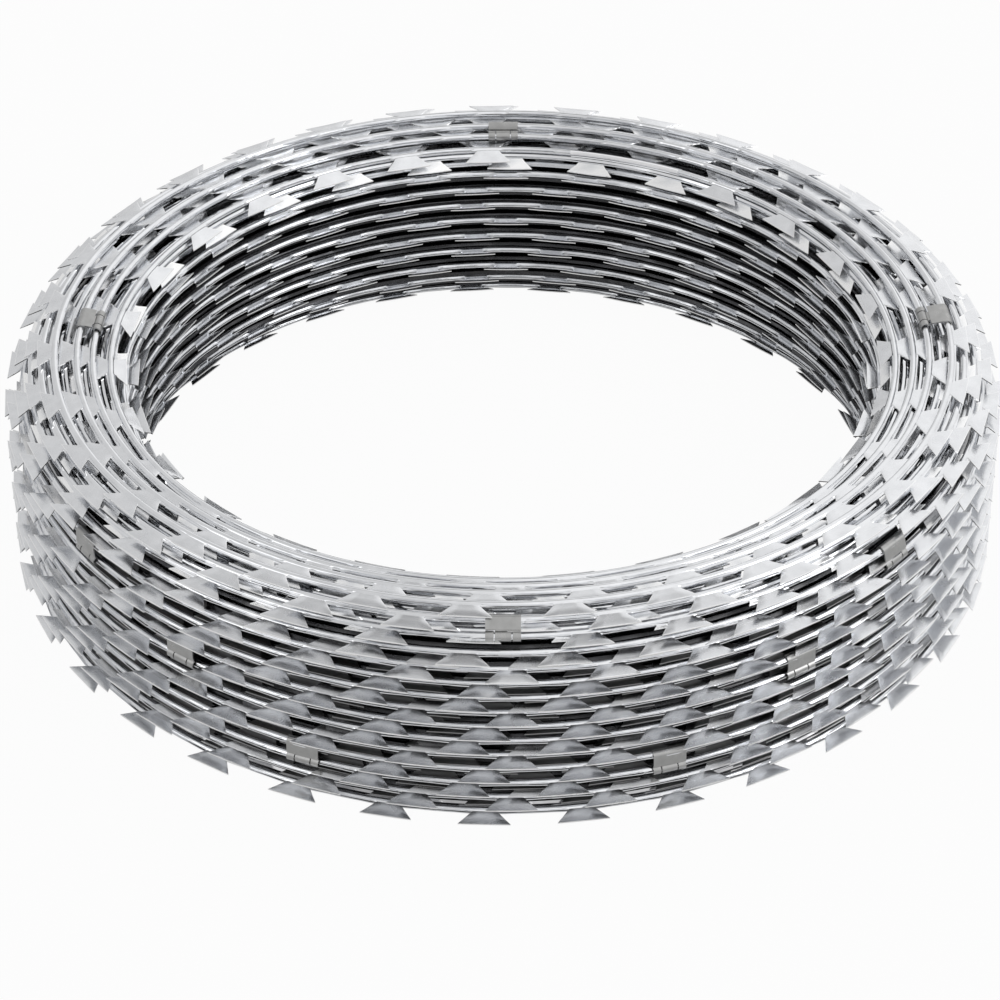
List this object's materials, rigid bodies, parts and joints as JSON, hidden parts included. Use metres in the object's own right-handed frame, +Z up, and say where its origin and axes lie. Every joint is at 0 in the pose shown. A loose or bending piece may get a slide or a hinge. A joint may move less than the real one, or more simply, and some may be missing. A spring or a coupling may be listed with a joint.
{
  "type": "concertina razor wire coil",
  "caption": "Closed coil of barbed tape wire lying flat: stacked barbed turns with a domed top and a wide bore, held together by small sheet clips.",
  "frame": {"origin": "middle of the coil on the floor that it lies on", "axes": "+Z up along the coil's axis; -Y faces the picture's camera"},
  "size_m": [0.4506, 0.4504, 0.1004],
  "materials": {
    "tape_steel": "bright hot-dip galvanised steel tape and spring wire",
    "clip_steel": "dull galvanised sheet"
  },
  "bodies": {
    "root": {"bore_turn_19": "tape_steel", "bore_turn_20": "tape_steel", "bore_turn_21": "tape_steel", "bore_turn_22": "tape_steel", "bore_turn_23": "tape_steel", "bore_turn_24": "tape_steel", "bore_turn_25": "tape_steel", "bore_turn_26": "tape_steel", "bore_turn_27": "tape_steel", "clip_01": "clip_steel", "clip_02": "clip_steel", "clip_03": "clip_steel", "clip_04": "clip_steel", "clip_05": "clip_steel", "clip_06": "clip_steel", "clip_07": "clip_steel", "clip_08": "clip_steel", "clip_09": "clip_steel", "clip_10": "clip_steel", "clip_11": "clip_steel", "clip_12": "clip_steel", "clip_13": "clip_steel", "clip_14": "clip_steel", "clip_15": "clip_steel", "clip_16": "clip_steel", "clip_17": "clip_steel", "crown_turn_15": "tape_steel", "crown_turn_16": "tape_steel", "crown_turn_17": "tape_steel", "crown_turn_18": "tape_steel", "shoulder_turn_12": "tape_steel", "shoulder_turn_13": "tape_steel", "shoulder_turn_14": "tape_steel", "wall_turn_01": "tape_steel", "wall_turn_02": "tape_steel", "wall_turn_03": "tape_steel", "wall_turn_04": "tape_steel", "wall_turn_05": "tape_steel", "wall_turn_06": "tape_steel", "wall_turn_07": "tape_steel", "wall_turn_08": "tape_steel", "wall_turn_09": "tape_steel", "wall_turn_10": "tape_steel", "wall_turn_11": "tape_steel", "wound_core": "tape_steel"}
  },
  "joints": []
}
